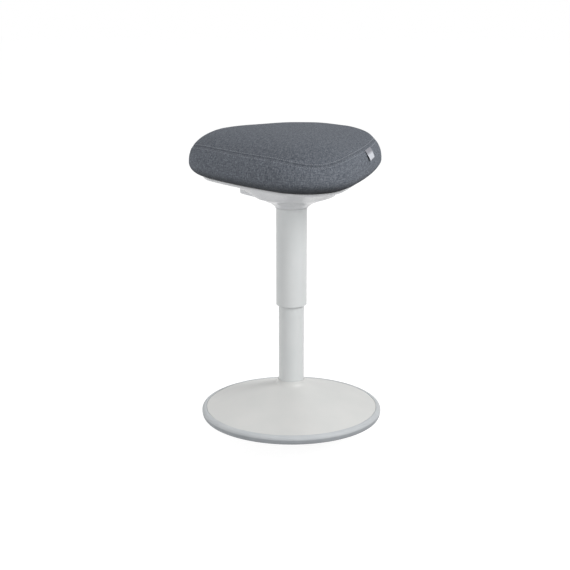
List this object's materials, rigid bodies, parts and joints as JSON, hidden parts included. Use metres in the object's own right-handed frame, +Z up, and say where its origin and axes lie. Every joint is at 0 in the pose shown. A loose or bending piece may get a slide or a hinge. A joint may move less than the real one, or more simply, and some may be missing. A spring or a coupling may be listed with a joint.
{
  "type": "wobble stool",
  "caption": "Height-adjustable wobble stool: a padded three-cornered seat on a gas-lift column over a round weighted base that leans every way about a rubber foot.",
  "frame": {"origin": "centre of the foot's flat underside, on the floor under the column's axis", "axes": "+Z up along the column with the stool upright, -Y to the front of the stool, +X to its right"},
  "size_m": [0.3777, 0.3784, 0.6205],
  "materials": {
    "fabric_grey": "matte",
    "label_grey": "matte",
    "foam_cream": "matte",
    "plywood": "matte",
    "cover_grey": "satin",
    "tube_grey": "satin",
    "shell_grey": "matte",
    "pan_grey": "satin",
    "lever_grey": "satin",
    "ring_grey": "matte",
    "rubber_black": "matte",
    "black_steel": "satin",
    "zinc_steel": "satin",
    "polished_steel": "polished",
    "nylon_white": "satin"
  },
  "bodies": {
    "floor": {"foot_tread": "rubber_black"},
    "rocker": {"foot_core": "rubber_black"},
    "base": {"foot_plate": "zinc_steel", "foot_bolt_1": "zinc_steel", "foot_bolt_2": "zinc_steel", "foot_bolt_3": "zinc_steel", "foot_bolt_4": "zinc_steel", "base_shell": "shell_grey", "ballast_plate": "black_steel", "column_socket": "black_steel", "socket_gusset_1": "black_steel", "socket_gusset_2": "black_steel", "socket_gusset_3": "black_steel", "socket_gusset_4": "black_steel", "base_cover": "cover_grey", "edge_ring": "ring_grey", "column_tube": "tube_grey", "guide_bush": "nylon_white", "bearing_lower_race": "zinc_steel", "bearing_cage": "nylon_white", "bearing_ball_1": "polished_steel", "bearing_ball_2": "polished_steel", "bearing_ball_3": "polished_steel", "bearing_ball_4": "polished_steel", "bearing_ball_5": "polished_steel", "bearing_ball_6": "polished_steel", "bearing_ball_7": "polished_steel", "bearing_ball_8": "polished_steel"},
    "rod": {"bearing_upper_race": "zinc_steel", "piston_rod": "polished_steel", "rod_clip": "black_steel", "rod_washer": "zinc_steel", "bump_stop": "rubber_black", "piston": "zinc_steel", "piston_ring": "rubber_black"},
    "seat": {"pressure_cylinder": "black_steel", "rod_guide": "nylon_white", "rod_seal": "rubber_black", "column_cover": "tube_grey", "wiper_ring": "rubber_black", "cushion_cover": "fabric_grey", "foam_pad": "foam_cream", "cushion_tag": "label_grey", "seat_board": "plywood", "seat_plate": "black_steel", "plate_screw_1": "zinc_steel", "plate_screw_2": "zinc_steel", "plate_screw_3": "zinc_steel", "plate_screw_4": "zinc_steel", "taper_bush": "black_steel", "seat_pan": "pan_grey", "pan_screw_1": "zinc_steel", "pan_screw_2": "zinc_steel", "pan_screw_3": "zinc_steel", "lever_pin": "zinc_steel", "pivot_ear_left": "black_steel", "pivot_ear_right": "black_steel"},
    "lever": {"release_lever": "lever_grey"},
    "valve": {"valve_pin": "zinc_steel"}
  },
  "joints": [
    {"name": "lean_front_right", "type": "hinge", "parent": "floor", "child": "rocker", "pos_m": [0, 0, 0], "axis": [0.7071, 0.7071, 0], "range_deg": [-9.2, 9.2], "stiffness_Nm_per_rad": 60, "deforming": ["foot_core"]},
    {"name": "lean_back_right", "type": "hinge", "parent": "rocker", "child": "base", "pos_m": [0, 0, 0], "axis": [-0.7071, 0.7071, 0], "range_deg": [-9.2, 9.2], "stiffness_Nm_per_rad": 60},
    {"name": "swivel", "type": "hinge", "parent": "base", "child": "rod", "pos_m": [0, 0, 0.06], "axis": [0, 0, 1], "continuous": true},
    {"name": "height", "type": "slide", "parent": "rod", "child": "seat", "axis": [0, 0, 1], "range_m": [-0.13, 0.04]},
    {"name": "lever_pull", "type": "hinge", "parent": "seat", "child": "lever", "pos_m": [-0.03557, 0.0102, 0.501], "axis": [0.2756, 0.9613, 0], "range_deg": [0, 5], "stiffness_Nm_per_rad": 0.5, "springref_deg": -10},
    {"name": "valve_press", "type": "slide", "parent": "seat", "child": "valve", "axis": [0, 0, 1], "range_m": [-0.004, 0]}
  ],
  "couplings": [
    {"joint": "valve_press", "follows": "lever_pull", "m_per_rad": -0.04}
  ]
}
